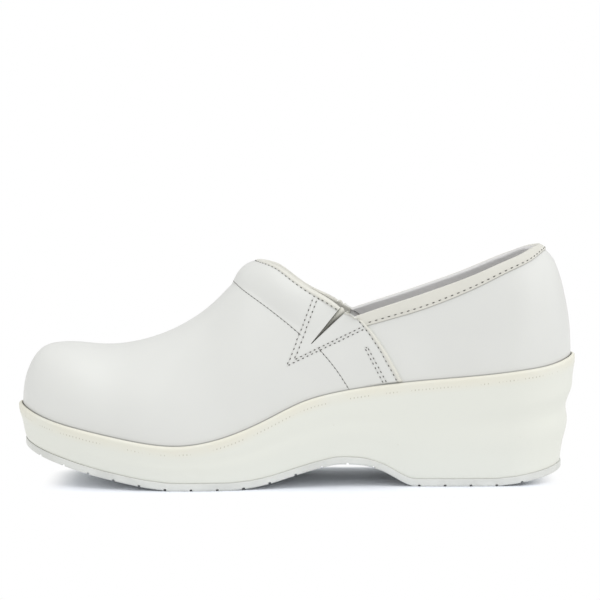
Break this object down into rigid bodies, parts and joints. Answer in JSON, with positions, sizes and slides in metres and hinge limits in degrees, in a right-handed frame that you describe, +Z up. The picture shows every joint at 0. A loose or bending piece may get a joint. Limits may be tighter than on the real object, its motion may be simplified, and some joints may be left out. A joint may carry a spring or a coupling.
{
  "type": "closed-back clog",
  "caption": "Left closed-back leather clog with notched gored sides and a bound collar on a thick wedge sole with a toe spring and an arch.",
  "frame": {"origin": "centre of the shoe's bounding box at the floor it stands on", "axes": "+X from the toe to the heel, +Y from the outer (lateral) side to the inner side, +Z up"},
  "size_m": [0.2674, 0.0953, 0.1128],
  "materials": {
    "white_leather": "smooth satin",
    "sole_foam": "moulded satin",
    "outsole_rubber": "moulded matte",
    "footbed_cover": "matte",
    "gore_elastic": "ribbed knit",
    "binding_strip": "satin"
  },
  "bodies": {
    "root": {"outsole": "outsole_rubber", "midsole": "sole_foam", "insole": "footbed_cover", "upper": "white_leather", "gore_lateral": "gore_elastic", "gore_medial": "gore_elastic", "collar_binding": "binding_strip"}
  },
  "joints": []
}
